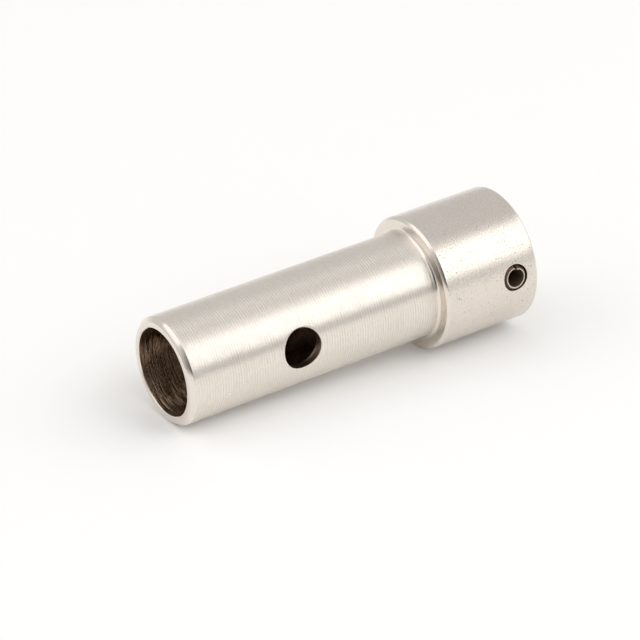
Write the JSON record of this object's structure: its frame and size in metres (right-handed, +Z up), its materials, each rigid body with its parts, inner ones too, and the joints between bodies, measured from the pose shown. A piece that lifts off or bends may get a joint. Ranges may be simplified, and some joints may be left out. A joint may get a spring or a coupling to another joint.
{
  "type": "rigid sleeve coupling",
  "caption": "Turned steel sleeve coupling: a thin tube socket with a cross hole steps up to a thicker collar, where a slotted spring pin crosses the shaft bore.",
  "frame": {"origin": "centre of the open mouth of the tube, on the coupling's axis", "axes": "+X along the axis from the mouth to the collar's end, Y along both cross holes, +Z up"},
  "size_m": [0.0575, 0.02, 0.02],
  "materials": {
    "turned_steel": "bright turned stainless steel, fine feed lines round the tube, bar-stock skin on the collar",
    "spring_steel": "rolled stainless spring strip, smooth, with cropped and chamfered ends"
  },
  "bodies": {
    "root": {"sleeve_body": "turned_steel", "spring_pin": "spring_steel"}
  },
  "joints": []
}
